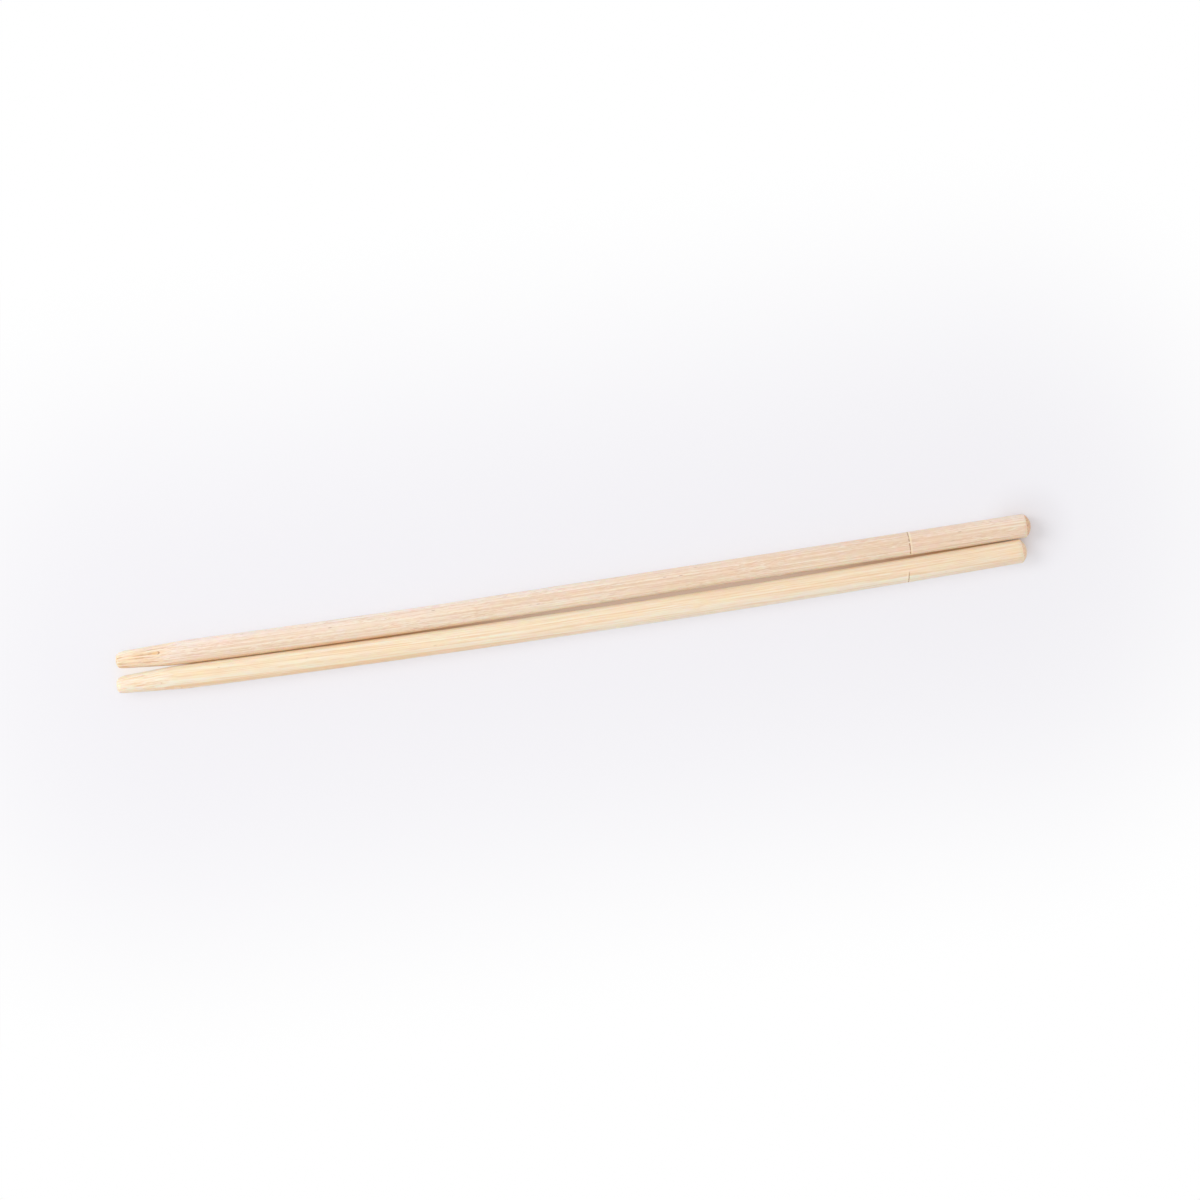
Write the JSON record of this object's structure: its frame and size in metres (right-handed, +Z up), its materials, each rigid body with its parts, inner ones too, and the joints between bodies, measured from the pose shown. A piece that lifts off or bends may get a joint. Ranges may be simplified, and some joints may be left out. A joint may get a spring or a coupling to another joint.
{
  "type": "bamboo chopsticks",
  "caption": "Pair of plain round bamboo chopsticks lying side by side, with blunt coned tips, domed butts and a scored ring near each butt.",
  "frame": {"origin": "middle of the pair's outline, on the table that the sticks lie on", "axes": "+Z up from the table, +X along the pair from the tips to the butts, +Y from the front stick to the back stick"},
  "size_m": [0.2308, 0.0132, 0.006],
  "materials": {
    "pale_bamboo": "bare sanded bamboo, pale and slightly pink, with short dark flecks",
    "golden_bamboo": "bare sanded bamboo, yellower, with fine lengthwise fibre lines"
  },
  "bodies": {
    "root": {"back_chopstick": "pale_bamboo", "front_chopstick": "golden_bamboo"}
  },
  "joints": []
}
